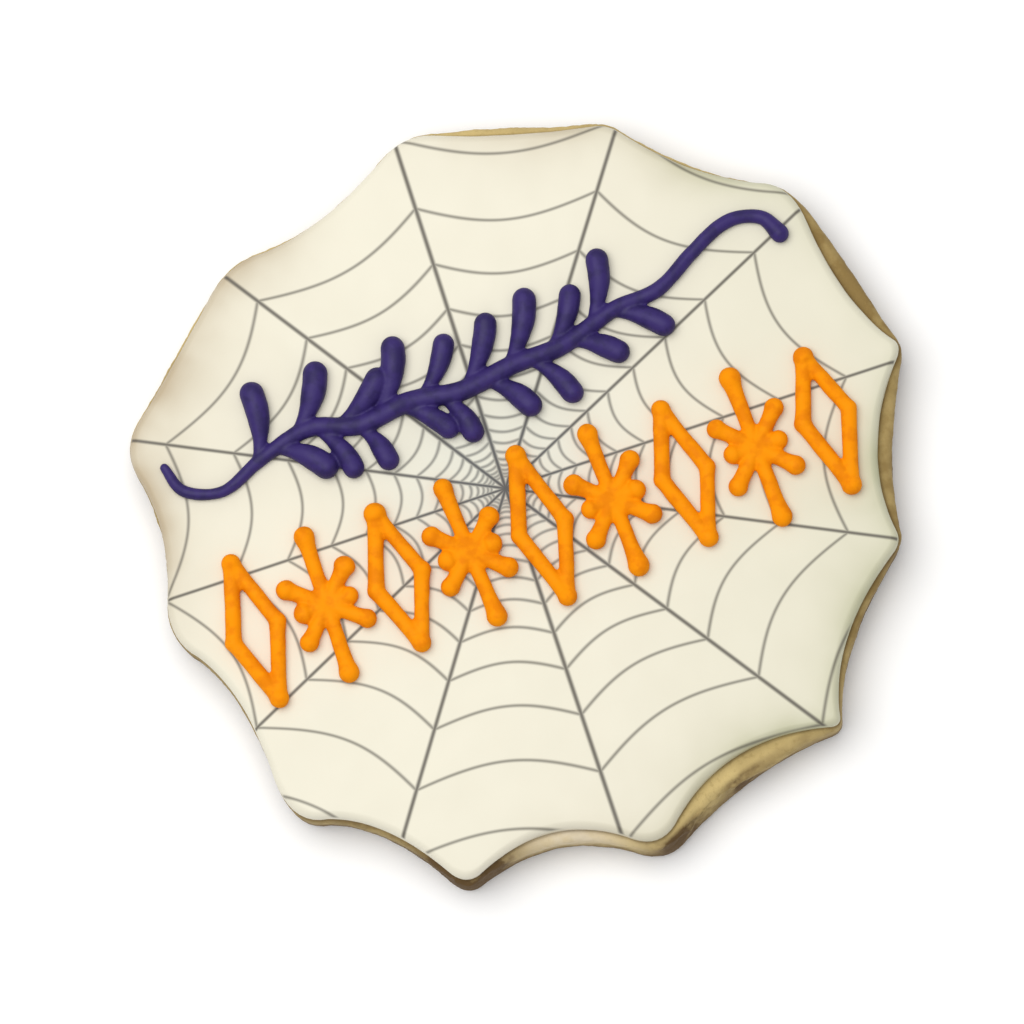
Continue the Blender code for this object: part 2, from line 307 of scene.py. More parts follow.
class RowSettings(bpy.types.PropertyGroup):
    """The piped orange row of lozenges and starbursts."""

    first: place_prop("First", "Middle of the first motif", (-33.4 * MM, -17.0 * MM, 0.0))
    last: place_prop("Last", "Middle of the last motif", (40.6 * MM, 9.9 * MM, 0.0))
    count: count_prop("Count", "Number of motifs", 9, least=2)
    half_tall: length_prop("Half height", "Half height of a lozenge", 9.3 * MM)
    half_wide: length_prop("Half width", "Half width of a lozenge", 3.1 * MM)
    string_half: length_prop("String half width", "Half width of a piped string", 1.02 * MM)
    blob_half: length_prop("Blob half width", "Half width of the blob at a string's end", 1.42 * MM)
    seed: count_prop("Seed", "Seed of its unevenness", 12, least=0)
    orange: colour_prop("Orange", "Colour of the icing", linear(243, 145, 0))
    amber: colour_prop("Amber", "Colour in its uneven darker streaks", linear(228, 128, 0))
    roughness: number_prop("Roughness", "Roughness of its skin", 0.7)
    shine: number_prop("Shine", "Strength of its highlights", 0.1)


class PipingSettings(bpy.types.PropertyGroup):
    """What all piped strings share."""

    level: length_prop("Level", "Height of the face that the strings lie on", 9.3 * MM)
    foot: length_prop("Foot", "Height at which the strings are cut off in the icing", 8.95 * MM)
    lift: number_prop("Lift", "Height of a string's middle in half widths", 0.42)
    voxel: length_prop("Voxel", "Grain at which strings flow together", 0.19 * MM)
    soften: number_prop("Softening", "How far each softening pass goes, as a share", 0.5)
    passes: count_prop("Softening passes", "Number of softening passes", 6)
    lump: length_prop("Lump", "Depth of the unevenness of hand piping", 0.16 * MM)
    lump_size: length_prop("Lump size", "Size of that unevenness", 3.2 * MM)


class StageSettings(bpy.types.PropertyGroup):
    """Camera, lights and floor."""

    aim: place_prop("Aim", "Middle of the picture", (-0.43 * MM, -1.03 * MM, 5.0 * MM))
    tilt: angle_prop("Tilt", "Angle of the camera from upright", 8.5)
    side: angle_prop("Side", "Direction in which the camera stands", 288.0)
    distance: length_prop("Distance", "Distance of the camera", 740.0 * MM)
    lens: number_prop("Lens", "Focal length in millimetres", 200.0)
    sensor: number_prop("Sensor", "Width of the camera's sensor in millimetres", 36.0)
    lamp_place: place_prop("Lamp place", "Where the lamp hangs", (-0.12, 0.06, 0.5))
    lamp_size: length_prop("Lamp size", "Width of the lamp's round face", 0.55)
    lamp_power: number_prop("Lamp power", "Power of the lamp in watts", 2.15)
    lamp_colour: colour_prop("Lamp colour", "Colour of the lamp", (1.0, 0.995, 0.985))
    room_light: number_prop("Room light", "Strength of the light from all round", 0.55)
    floor_size: length_prop("Floor size", "Width of the floor", 6.0)
    floor_low: colour_prop("Floor low", "Colour of the floor's darker patches", linear(252, 252, 252))
    floor_high: colour_prop("Floor high", "Colour of its lighter patches", linear(254, 254, 254))


class CookieSettings(bpy.types.PropertyGroup):
    """All settings of the cookie."""

    biscuit: PointerProperty(type=BiscuitSettings)
    icing: PointerProperty(type=IcingSettings)
    web: PointerProperty(type=WebSettings)
    piping: PointerProperty(type=PipingSettings)
    garland: PointerProperty(type=GarlandSettings)
    row: PointerProperty(type=RowSettings)
    stage: PointerProperty(type=StageSettings)


def polar(angle, reach):
    """The place in a direction, given in degrees, at a reach from the middle."""
    turn = math.radians(angle)
    return Vector((reach * math.cos(turn), reach * math.sin(turn), 0.0))


def side_point(start, end, hollow, deepest, share):
    """A point of the curve that bends from start to end round one guide point."""
    along = end - start
    inward = Vector((-along.y, along.x, 0.0)).normalized()
    guide = start + along * deepest + inward * hollow * 2.0
    near = start.lerp(guide, share)
    far = guide.lerp(end, share)
    return near.lerp(far, share)


def outline(corners, hollows):
    """Closed outline with hollow sides and rounded tips, counter-clockwise."""
    roundings = [rounding for _, _, _, rounding in TIPS]
    deepest = [place for _, _, place in SIDES]
    sides = []
    for number, start in enumerate(corners):
        following = (number + 1) % len(corners)
        end = corners[following]
        long = (end - start).length
        first = roundings[number] / long
        last = 1.0 - roundings[following] / long
        side = []
        for step in range(SIDE_STEPS + 1):
            share = first + (last - first) * step / SIDE_STEPS
            side.append(side_point(start, end, hollows[number], deepest[number], share))
        sides.append(side)
    points = []
    for number, corner in enumerate(corners):
        before = sides[number - 1][-1]
        after = sides[number][0]
        for step in range(1, TIP_STEPS):
            share = step / TIP_STEPS
            near = before.lerp(corner, share)
            far = corner.lerp(after, share)
            points.append(near.lerp(far, share))
        points.extend(sides[number])
    return points


def middle(points):
    """The middle of the box round an outline."""
    across = [point.x for point in points]
    along = [point.y for point in points]
    return Vector((min(across) + max(across), min(along) + max(along), 0.0)) / 2.0


def cookie_outlines():
    """The outlines of the icing and of the biscuit, centred on the biscuit."""
    icing_corners = [polar(angle, reach) for angle, reach, _, _ in TIPS]
    biscuit_corners = [polar(angle, reach + more) for angle, reach, more, _ in TIPS]
    icing = outline(icing_corners, [sink for sink, _, _ in SIDES])
    biscuit = outline(biscuit_corners, [sink - shelf for sink, shelf, _ in SIDES])
    shift = middle(biscuit)
    return [point - shift for point in icing], [point - shift for point in biscuit]


def quarter_turns(steps):
    """Angles from nothing to a right angle, in radians."""
    return [0.5 * math.pi * step / steps for step in range(steps + 1)]


def deselect_all():
    bpy.ops.object.select_all(action="DESELECT")


def pick(piece):
    """Makes the piece the only selected one."""
    deselect_all()
    piece.select_set(True)
    bpy.context.view_layer.objects.active = piece


def edit(piece):
    """Opens the piece in edit mode with all of it selected."""
    pick(piece)
    bpy.ops.object.mode_set(mode="EDIT")
    bpy.ops.mesh.select_all(action="SELECT")


def leave_edit():
    bpy.ops.object.mode_set(mode="OBJECT")


def face_out(piece):
    """Turns all faces outwards."""
    edit(piece)
    bpy.ops.mesh.normals_make_consistent(inside=False)
    leave_edit()


def drawn_in(points, distance, height):
    """The outline drawn in towards the middle by a distance, at a height."""
    ring = []
    for point in points:
        share = 1.0 - distance / point.length
        ring.append(Vector((point.x * share, point.y * share, height)))
    return ring


def profile_rings(points, profile):
    """Rings that follow a profile of distance drawn in and height."""
    return [drawn_in(points, inward, height) for inward, height in profile]


def middle_rings(ring, count):
    """Rings that shrink towards the middle, for the wide flat part of a face."""
    rings = []
    for number in range(count - 1, 0, -1):
        rings.append([Vector((p.x * number / count, p.y * number / count, p.z)) for p in ring])
    return rings


def tree_of(points):
    """A tree that finds the point nearest to a place."""
    tree = kdtree.KDTree(len(points))
    for number, point in enumerate(points):
        tree.insert(point, number)
    tree.balance()
    return tree


def grow(name, rings):
    """A closed form: a circle pulled to the first ring, then extruded from ring to ring."""
    deselect_all()
    start = rings[0]
    bpy.ops.mesh.primitive_circle_add(vertices=len(start), radius=START_RADIUS, fill_type="NGON")
    piece = bpy.context.active_object
    piece.name = name
    piece.data.name = name
    for vertex, point in zip(piece.data.vertices, start):
        vertex.co = point
    edit(piece)
    for before, after in zip(rings, rings[1:]):
        bpy.ops.mesh.extrude_region_move()
        work = bmesh.from_edit_mesh(piece.data)
        tree = tree_of(before)
        for vertex in [vertex for vertex in work.verts if vertex.select]:
            vertex.co = after[tree.find(vertex.co)[1]]
        bmesh.update_edit_mesh(piece.data)
    bpy.ops.mesh.poke()
    leave_edit()
    face_out(piece)
    return piece


def shape_by(piece, kind, **settings):
    """Gives the picked piece a modifier with these settings and applies it."""
    bpy.ops.object.modifier_add(type=kind)
    modifier = piece.modifiers[-1]
    for name, value in settings.items():
        setattr(modifier, name, value)
    bpy.ops.object.modifier_apply(modifier=modifier.name)


def group_by(piece, name, weight):
    """A vertex group whose weight follows each vertex's place."""
    group = piece.vertex_groups.new(name=name)
    for vertex in piece.data.vertices:
        group.add([vertex.index], max(0.0, min(1.0, weight(vertex.co))), "REPLACE")


def roughen(piece, name, size, strength, depth=1, group="", direction="NORMAL", mid_level=0.5):
    """Shifts the surface by soft noise of a size and applies it."""
    texture = bpy.data.textures.new(name, "CLOUDS")
    texture.noise_scale = size
    texture.noise_depth = depth
    pick(piece)
    shape_by(
        piece,
        "DISPLACE",
        texture=texture,
        texture_coords="LOCAL",
        strength=strength,
        mid_level=mid_level,
        direction=direction,
        vertex_group=group,
    )


def finish_piece(piece, look, slot, *nodes):
    """Gives the piece its material and its body, and hides the solids that it stands for."""
    piece.data.materials.clear()
    piece.data.materials.append(look)
    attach(piece, "root")
    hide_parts(*nodes)


def strength_at(place, spots):
    """How strongly spots round the cookie act in the direction of a place."""
    turn = math.degrees(math.atan2(place.y, place.x))
    amount = 0.0
    for direction, spread_angle, strength in spots:
        away = (turn - direction + 180.0) % 360.0 - 180.0
        amount += strength * math.exp(-((away / spread_angle) ** 2))
    return amount


def step_up(value, low, high):
    """A smooth step from 0 to 1 as the value goes from low to high."""
    share = max(0.0, min(1.0, (value - low) / (high - low)))
    return share * share * (3.0 - 2.0 * share)


def distance_to(points):
    """A function that gives a place's level distance to an outline."""
    tree = tree_of(points)
    return lambda place: tree.find(Vector((place.x, place.y, 0.0)))[2]


def mark(piece, name, value):
    """Keeps a value worked out for each vertex, as an attribute."""
    attribute = piece.data.attributes.new(name, "FLOAT", "POINT")
    for vertex in piece.data.vertices:
        attribute.data[vertex.index].value = value(vertex)


class Recipe:
    """A material's node tree, with short calls that add and link its nodes."""

    def __init__(self, name):
        self.material = bpy.data.materials.new(name)
        self.material.use_nodes = True
        self.tree = self.material.node_tree
        self.shader = self.tree.nodes["Principled BSDF"]
        self.place = self.add("ShaderNodeTexCoord").outputs["Object"]

    def add(self, kind, **settings):
        made = self.tree.nodes.new(kind)
        for name, value in settings.items():
            setattr(made, name, value)
        return made

    def feed(self, socket, value):
        if isinstance(value, bpy.types.NodeSocket):
            self.tree.links.new(value, socket)
        else:
            socket.default_value = value

    def maths(self, operation, *values):
        made = self.add("ShaderNodeMath", operation=operation)
        for socket, value in zip(made.inputs, values):
            self.feed(socket, value)
        return made.outputs[0]

    def times(self, first, *others):
        """The product of all the values."""
        for other in others:
            first = self.maths("MULTIPLY", first, other)
        return first

    def vector(self, operation, *values):
        made = self.add("ShaderNodeVectorMath", operation=operation)
        for socket, value in zip(made.inputs, values):
            self.feed(socket, value)
        return made

    def ramp(self, value, low, high, start=0.0, end=1.0):
        """A smooth step from start to end as the value goes from low to high."""
        made = self.add("ShaderNodeMapRange", interpolation_type="SMOOTHSTEP")
        self.feed(made.inputs["Value"], value)
        made.inputs["From Min"].default_value = low
        made.inputs["From Max"].default_value = high
        made.inputs["To Min"].default_value = start
        made.inputs["To Max"].default_value = end
        return made.outputs["Result"]

    def noise(self, size, detail=3.0, roughness=0.5):
        """Noise with features of about the size given in metres."""
        made = self.add("ShaderNodeTexNoise")
        self.feed(made.inputs["Vector"], self.place)
        made.inputs["Scale"].default_value = 1.0 / size
        made.inputs["Detail"].default_value = detail
        made.inputs["Roughness"].default_value = roughness
        return made.outputs["Fac"]

    def parts(self, vector):
        """The parts of a vector, by the names X, Y and Z."""
        made = self.add("ShaderNodeSeparateXYZ")
        self.feed(made.inputs[0], vector)
        return made.outputs

    def attribute(self, name):
        return self.add("ShaderNodeAttribute", attribute_name=name).outputs["Fac"]

    def mix(self, share, first, second):
        """The first colour turning into the second as share goes from 0 to 1."""
        made = self.add("ShaderNodeMix", data_type="RGBA")
        self.feed(made.inputs["Factor"], share)
        ends = [socket for socket in made.inputs if socket.type == "RGBA"]
        self.feed(ends[0], first)
        self.feed(ends[1], second)
        return next(socket for socket in made.outputs if socket.type == "RGBA")

    def bump(self, height, distance, strength):
        made = self.add("ShaderNodeBump")
        made.inputs["Strength"].default_value = strength
        made.inputs["Distance"].default_value = distance
        self.feed(made.inputs["Height"], height)
        return made.outputs["Normal"]

    def finish(self, colour, roughness, shine, normal=None):
        self.feed(self.shader.inputs["Base Color"], colour)
        self.feed(self.shader.inputs["Roughness"], roughness)
        self.feed(self.shader.inputs["Specular IOR Level"], shine)
        if normal is not None:
            self.feed(self.shader.inputs["Normal"], normal)
        return self.material


def opaque(colour):
    """The colour with the fourth part that a colour socket takes."""
    return (colour[0], colour[1], colour[2], 1.0)


def biscuit_look(settings):
    """Golden bake, browner in places and low on the sides, partly as painted shade, with a painted
    contact shadow along the icing, and fine crumb and pores.
    """
    recipe = Recipe("golden_bake")
    height = recipe.parts(recipe.place)["Z"]
    blotch = recipe.noise(size=2.6 * MM)
    patches = recipe.ramp(recipe.noise(size=7.0 * MM, detail=2.0), low=0.42, high=0.68, end=0.3)
    specks = recipe.ramp(recipe.noise(size=0.7 * MM, roughness=0.6), low=0.50, high=0.74)

    def blotched(name, **steps):
        """A value that the mesh is marked with, broken up by the blotches."""
        return recipe.times(recipe.attribute(name), recipe.ramp(blotch, **steps))

    golden = opaque(settings.golden)
    browned_and_shaded = opaque(settings.browned_and_shaded)
    dark = opaque(settings.dark)
    # Browning in the marked directions, partly painted shade
    browned_and_shaded_share = blotched("browned_and_shaded", low=0.3, high=0.65, start=0.72, end=1.15)
    colour = recipe.mix(recipe.maths("MAXIMUM", patches, browned_and_shaded_share), golden, browned_and_shaded)
    colour = recipe.mix(recipe.times(specks, 0.3), colour, browned_and_shaded)

    # Darker towards the bottom of the sides: partly the browned base, partly painted shade
    low_bake_and_shade = recipe.ramp(height, low=0.3 * MM, high=5.6 * MM, start=0.9, end=0.0)
    low_bake_and_shade = recipe.times(low_bake_and_shade, recipe.ramp(blotch, low=0.2, high=0.6, start=0.6))
    colour = recipe.mix(low_bake_and_shade, colour, dark)
    pale = blotched("pale", low=0.25, high=0.6, start=0.6, end=1.1)
    colour = recipe.mix(pale, colour, opaque(settings.pale))
    # Scorching near the rim, partly painted shade on walls turned from the light
    scorched_and_shaded = blotched("scorched_and_shaded", low=0.3, high=0.58, start=0.38, end=1.1)
    colour = recipe.mix(scorched_and_shaded, colour, dark)
    # Painted shadow: a dark line on the biscuit along the icing's foot
    painted_contact_shadow = recipe.ramp(recipe.attribute("shelf"), low=0.0, high=0.5, start=0.6, end=0.0)
    colour = recipe.mix(painted_contact_shadow, colour, dark)

    crumb = recipe.noise(size=0.45 * MM, detail=4.0, roughness=0.65)
    normal = recipe.bump(crumb, distance=0.12 * MM, strength=0.7)
    roughness = recipe.ramp(specks, low=0.0, high=1.0, start=0.72, end=0.9)
    return recipe.finish(colour, roughness, shine=0.2, normal=normal)


def web_angle(recipe, web, away, turned, reach):
    """The direction of a place round the hub, in the stretched web, in radians."""
    parts = recipe.parts(turned)
    angle = recipe.maths("ARCTAN2", parts["Y"], parts["X"])
    upright = recipe.maths("DIVIDE", recipe.parts(away)["Y"], reach)
    return recipe.maths("MULTIPLY_ADD", upright, web.lean, angle)


def printed_line(recipe, gap, width, bleed, strength):
    """How strongly a line of a width covers a place at a gap from its middle."""
    return recipe.ramp(gap, low=width / 2.0 - bleed, high=width / 2.0 + bleed, start=strength, end=0.0)


def web_lines(recipe, web):
    """How strongly the printed web covers a place, and how near that is to the hub."""
    flat = recipe.vector("MULTIPLY", recipe.place, (1.0, 1.0, 0.0)).outputs[0]
    away = recipe.vector("SUBTRACT", flat, tuple(web.centre)).outputs[0]
    reach = recipe.vector("LENGTH", away).outputs["Value"]
    stretch = recipe.add("ShaderNodeMapping", vector_type="TEXTURE")
    recipe.feed(stretch.inputs["Vector"], away)
    stretch.inputs["Rotation"].default_value = (0.0, 0.0, web.turn)
    stretch.inputs["Scale"].default_value = (web.long_reach, web.short_reach, 1.0)
    turned = stretch.outputs[0]
    share = recipe.vector("LENGTH", turned).outputs["Value"]

    # From 0 on a spoke to 0.5 midway between two
    sector = 2.0 * math.pi / web.spokes
    angle = web_angle(recipe, web, away, turned, reach)
    from_spoke = recipe.maths("PINGPONG", recipe.maths("DIVIDE", angle, sector), 0.5)
    spoke_gap = recipe.times(from_spoke, sector, reach)
    spoke = printed_line(recipe, spoke_gap, web.spoke_width, web.bleed, web.spoke_strength)

    # Threads are numbered inwards from 0, each a fixed share of the one before
    across = recipe.times(from_spoke, 2.0)
    bow = recipe.times(across, recipe.maths("SUBTRACT", 2.0, across))
    sagging = recipe.maths("SUBTRACT", 1.0, recipe.times(bow, web.sag))
    level = recipe.maths("DIVIDE", share, sagging)
    number = recipe.times(recipe.maths("LOGARITHM", level, web.ratio), -1.0)
    off = recipe.maths("PINGPONG", number, 0.5)
    # Near a spoke a thread runs aslant, so the same step in reach is a shorter gap
    aslant = recipe.ramp(across, low=0.0, high=1.0, start=0.8)
    thread_gap = recipe.times(off, math.log(web.ratio), reach, aslant)
    thread = printed_line(recipe, thread_gap, web.thread_width, web.bleed, 1.0)
    near_hub = recipe.ramp(share, low=0.05, high=0.45, start=1.0, end=0.0)
    strength = recipe.maths("MULTIPLY_ADD", near_hub, -web.hub_fading, web.thread_strength)
    # Nothing is printed past the first thread and the last
    past_first = recipe.maths("GREATER_THAN", number, -0.4)
    before_last = recipe.maths("LESS_THAN", number, web.threads - 0.5)
    thread = recipe.times(thread, strength, past_first, before_last)
    return recipe.maths("MAXIMUM", spoke, thread), near_hub


def icing_look(icing, web):
    """Cream icing with a satin skin, thinner at its rim, with painted shade along its rim, over its left
    and right sides and across its right half, and with the web printed on it.
    """
    recipe = Recipe("white_icing")
    patches = recipe.noise(size=9.0 * MM, detail=2.0)
    # Darker where the icing is thin, with painted shade along the rim and over the sides
    thin_and_shade = recipe.ramp(patches, low=0.3, high=0.7, start=0.75, end=1.25)
    thin_and_shade = recipe.times(recipe.attribute("thin_and_shade"), thin_and_shade)
    # Painted shade: the right half darker and its rim greener
    right = recipe.ramp(recipe.parts(recipe.place)["X"], low=0.0, high=35.0 * MM)
    thin_and_shade = recipe.maths("MULTIPLY_ADD", right, icing.right_shade, thin_and_shade)
    thin_and_shade_colour = recipe.mix(right, opaque(icing.thin_and_shade), opaque(icing.thin_and_shade_right))
    colour = recipe.mix(thin_and_shade, opaque(icing.cream), thin_and_shade_colour)

    lines, near_hub = web_lines(recipe, web)
    haze = recipe.times(near_hub, web.haze_strength)
    colour = recipe.mix(haze, colour, opaque(web.haze))
    # The ink stops at the icing's outline, which is what "inside" counts from
    rim = recipe.ramp(recipe.attribute("inside"), low=0.0, high=0.25)
    ink = recipe.mix(near_hub, opaque(web.ink), opaque(web.hub_ink))
    colour = recipe.mix(recipe.times(lines, rim), colour, ink)

    skin = recipe.noise(size=1.6 * MM)
    normal = recipe.bump(skin, distance=0.03 * MM, strength=0.5)
    roughness = recipe.ramp(patches, low=0.3, high=0.7, start=0.44, end=0.56)
    return recipe.finish(colour, roughness, shine=0.35, normal=normal)


def piping_look(name, plain, streaked, roughness, shine):
    """Coloured icing with faint streaks and a soft gloss."""
    recipe = Recipe(name)
    streaks = recipe.ramp(recipe.noise(size=2.2 * MM, roughness=0.55), low=0.42, high=0.66)
    colour = recipe.mix(streaks, opaque(plain), opaque(streaked))
    skin = recipe.noise(size=0.8 * MM, detail=2.0)
    normal = recipe.bump(skin, distance=0.04 * MM, strength=0.5)
    gloss = recipe.noise(size=3.0 * MM, detail=2.0)
    gloss = recipe.ramp(gloss, low=0.35, high=0.65, start=roughness - 0.04, end=roughness + 0.06)
    return recipe.finish(colour, gloss, shine, normal)


def biscuit_rings(points, settings):
    """The biscuit's rings from the middle of its underside to the middle of its top."""
    edge = settings.edge
    thick = settings.thick
    edge_steps = 6
    wall_rows = 10
    shelf_rows = 16
    shelf_step = 0.25 * MM
    under_rows = 5
    under_step = 0.8 * MM
    rounding = []
    for turn in quarter_turns(edge_steps):
        rounding.append((edge * (1.0 - math.sin(turn)), edge * (1.0 - math.cos(turn))))
    rounding.reverse()
    wall = [(0.0, edge + (thick - 2.0 * edge) * row / wall_rows) for row in range(1, wall_rows)]
    upper_rim = [(inward, thick - height) for inward, height in rounding]
    shelf = [(edge + shelf_step * row, thick) for row in range(1, shelf_rows + 1)]
    under = [(edge + under_step * row, 0.0) for row in range(1, under_rows + 1)]
    upper = profile_rings(points, wall + upper_rim + shelf)
    lower = profile_rings(points, rounding + under)
    underside = middle_rings(lower[-1], 6)[::-1] + lower[::-1]
    return underside + upper + middle_rings(upper[-1], 8)


class COOKIE_OT_bake_biscuit(bpy.types.Operator):
    """Bake the biscuit: raise the outline, round its rims and roughen its crumb."""

    bl_idname = "cookie.bake_biscuit"
    bl_label = "Bake Biscuit"

    def execute(self, context):
        settings = context.scene.cookie.biscuit
        iced, points = cookie_outlines()
        piece = grow("baked_biscuit", biscuit_rings(points, settings))
        to_outline = distance_to(points)
        to_icing = distance_to(iced)

        def worn(place):
            high_up = step_up(place.z, 1.5 * MM, 5.5 * MM)
            near_rim = step_up(to_outline(place), 2.0 * MM, 0.8 * MM)
            return strength_at(place, WORN) * high_up * near_rim

        # Scorching near the rim, partly painted shade on walls turned from the light
        def scorched_and_shaded(vertex):
            near_rim = step_up(to_outline(vertex.co), 1.7 * MM, 0.8 * MM)
            return strength_at(vertex.co, SCORCHED_AND_SHADED) * near_rim

        def pale(vertex):
            high_up = step_up(vertex.co.z, 1.5 * MM, 6.5 * MM)
            return strength_at(vertex.co, PALE) * high_up

        # The underside stays flat, so that the cookie lies still
        group_by(piece, "crumb", lambda place: (place.z - 0.3 * MM) / (1.2 * MM))
        group_by(piece, "worn", worn)
        wear = -settings.wear
        roughen(piece, "biscuit_wear", size=1.4 * MM, strength=wear, depth=3, group="worn", mid_level=0.0)
        roughen(piece, "biscuit_lumps", size=6.0 * MM, strength=settings.lump, group="crumb")
        roughen(piece, "biscuit_crumb", size=0.8 * MM, strength=settings.crumb, depth=3, group="crumb")
        bpy.ops.object.shade_smooth()
        # Browning, partly painted shade
        mark(piece, "browned_and_shaded", lambda vertex: strength_at(vertex.co, BROWNED_AND_SHADED))
        mark(piece, "pale", pale)
        mark(piece, "scorched_and_shaded", scorched_and_shaded)
        # How far in millimetres the shelf reaches past the icing, which places the painted contact shadow
        mark(piece, "shelf", lambda vertex: to_icing(vertex.co) / MM)
        finish_piece(piece, biscuit_look(settings), "biscuit", "biscuit")
        return {"FINISHED"}


def icing_rings(points, foot, icing):
    """The icing's rings from its underside over its rolled rim to the middle of its face."""
    wall_rows = 3
    roll_steps = 14
    # Powers that keep the rim fuller than a quarter circle
    inward_power = 1.15
    upward_power = 0.85
    under_width = 2.0 * MM
    rise = icing.top - foot - icing.wall
    profile = [(0.0, foot + icing.wall * row / wall_rows) for row in range(wall_rows + 1)]
    for turn in quarter_turns(roll_steps)[1:]:
        inward = icing.roll * (1.0 - math.cos(turn) ** inward_power)
        height = foot + icing.wall + rise * math.sin(turn) ** upward_power
        profile.append((inward, height))
    rings = profile_rings(points, [(under_width, foot)] + profile)
    return rings + middle_rings(rings[-1], 40)


class COOKIE_OT_flood_icing(bpy.types.Operator):
    """Flood the icing: raise the outline, roll its rim in and fill its face with rings."""

    bl_idname = "cookie.flood_icing"
    bl_label = "Flood Icing"

    def execute(self, context):
        cookie = context.scene.cookie
        icing = cookie.icing
        points = cookie_outlines()[0]
        foot = cookie.biscuit.thick - icing.sink
        piece = grow("icing_sheet", icing_rings(points, foot, icing))
        to_rim = distance_to(points)

        # Thin icing along the rim, partly painted shade, and painted shade over the face on the left and
        # right
        def thin_and_shade(vertex):
            inward = to_rim(vertex.co)
            rim = strength_at(vertex.co, THIN_AND_SHADED_RIM) * math.exp(-inward / icing.rim_width)
            return rim + strength_at(vertex.co, SHADED_FACE) * math.exp(-inward / icing.face_shade_width)

        # How far in millimetres a place is from the icing's outline
        mark(piece, "inside", lambda vertex: to_rim(vertex.co) / MM)
        mark(piece, "thin_and_shade", thin_and_shade)
        group_by(piece, "face", lambda place: (place.z - foot - 0.2 * MM) / (0.6 * MM))
        ripple = icing.ripple
        roughen(piece, "icing_ripple", size=12.0 * MM, strength=ripple, group="face", direction="Z")
        roughen(piece, "icing_rim", size=5.0 * MM, strength=ripple * 1.6, group="face")
        bpy.ops.object.shade_smooth()
        finish_piece(piece, icing_look(icing, cookie.web), "icing_white", "icing")
        return {"FINISHED"}


def smooth_run(knots, steps):
    """A smooth run through knots that each hold x, y and half width."""
    rows = [Vector(knot) for knot in knots]
    rows = [rows[0] * 2.0 - rows[1]] + rows + [rows[-1] * 2.0 - rows[-2]]
    points = []
    for number in range(1, len(rows) - 2):
        a, b, c, d = rows[number - 1:number + 3]
        for step in range(steps):
            t = step / steps
            bend = (a * 2.0 - b * 5.0 + c * 4.0 - d) * t ** 2
            twist = (b * 3.0 - a - c * 3.0 + d) * t ** 3
            points.append((b * 2.0 + (c - a) * t + bend + twist) / 2.0)
    points.append(rows[-2])
    return points


def end_rows(tip, inner, lift):
    """Rows that round off a string past its tip: x, y, half width and rise."""
    away = (tip - inner).to_2d().normalized() * tip.z
    rows = []
    for angle in END_ANGLES:
        turn = math.radians(angle)
        spot = tip.to_2d() + away * math.sin(turn)
        rows.append((spot.x, spot.y, tip.z * math.cos(turn), lift * tip.z))
    return rows


def pipe_string(points, raised, piping):
    """One piped string as a mesh tube along points that hold x, y and half width."""
    lift = piping.lift
    run = [(point.x, point.y, point.z, lift * point.z) for point in points]
    rows = end_rows(points[0], points[1], lift)[::-1] + run + end_rows(points[-1], points[-2], lift)
    deselect_all()
    bpy.ops.curve.primitive_nurbs_path_add()
    string = bpy.context.active_object
    curve = string.data
    curve.splines.clear()
    spline = curve.splines.new("POLY")
    spline.points.add(len(rows) - 1)
    for target, (x, y, half, rise) in zip(spline.points, rows):
        target.co = (x, y, piping.level + rise + raised, 1.0)
        target.radius = half
    curve.bevel_depth = 1.0
    curve.bevel_resolution = 6
    curve.use_fill_caps = True
    bpy.ops.object.convert(target="MESH")
    return bpy.context.active_object


def pipe_piece(name, strings, piping):
    """Strings of icing that flow together, cut flat where they stand in the icing."""
    made = []
    for number, points in enumerate(strings):
        made.append(pipe_string(points, RISE_STEP * (number % RISE_STEPS), piping))
    deselect_all()
    for one in made:
        one.select_set(True)
    piece = made[0]
    bpy.context.view_layer.objects.active = piece
    bpy.ops.object.join()
    piece.name = name
    piece.data.name = name
    shape_by(piece, "REMESH", mode="VOXEL", voxel_size=piping.voxel)
    shape_by(piece, "SMOOTH", factor=piping.soften, iterations=piping.passes)
    roughen(piece, name + "_lumps", size=piping.lump_size, strength=piping.lump)
    edit(piece)
    bpy.ops.mesh.bisect(
        plane_co=(0.0, 0.0, piping.foot),
        plane_no=(0.0, 0.0, 1.0),
        use_fill=True,
        clear_inner=True,
        threshold=1e-6,
    )
    leave_edit()
    face_out(piece)
    bpy.ops.object.shade_smooth()
    return piece


def spread(draw, share):
    """A factor that strays from one by up to the share."""
    return 1.0 + draw.uniform(-share, share)


def leaf(root, heading, length, half, bend):
    """A teardrop of icing: thin where it leaves the stem, fat at its end, curled."""
    steps = LEAF_BENDS * LEAF_FINE
    points = []
    spot = root.to_2d()
    for step in range(steps + 1):
        fullness = math.sin(math.pi / 2.0 * min(1.0, step / steps / LEAF_FULL_AT)) ** 2
        points.append(Vector((spot.x, spot.y, half * (LEAF_ROOT + (1.0 - LEAF_ROOT) * fullness))))
        turn = heading + bend * (step // LEAF_FINE / LEAF_BENDS - 0.5)
        spot = spot + Vector((math.cos(turn), math.sin(turn))) * length / steps
    return points


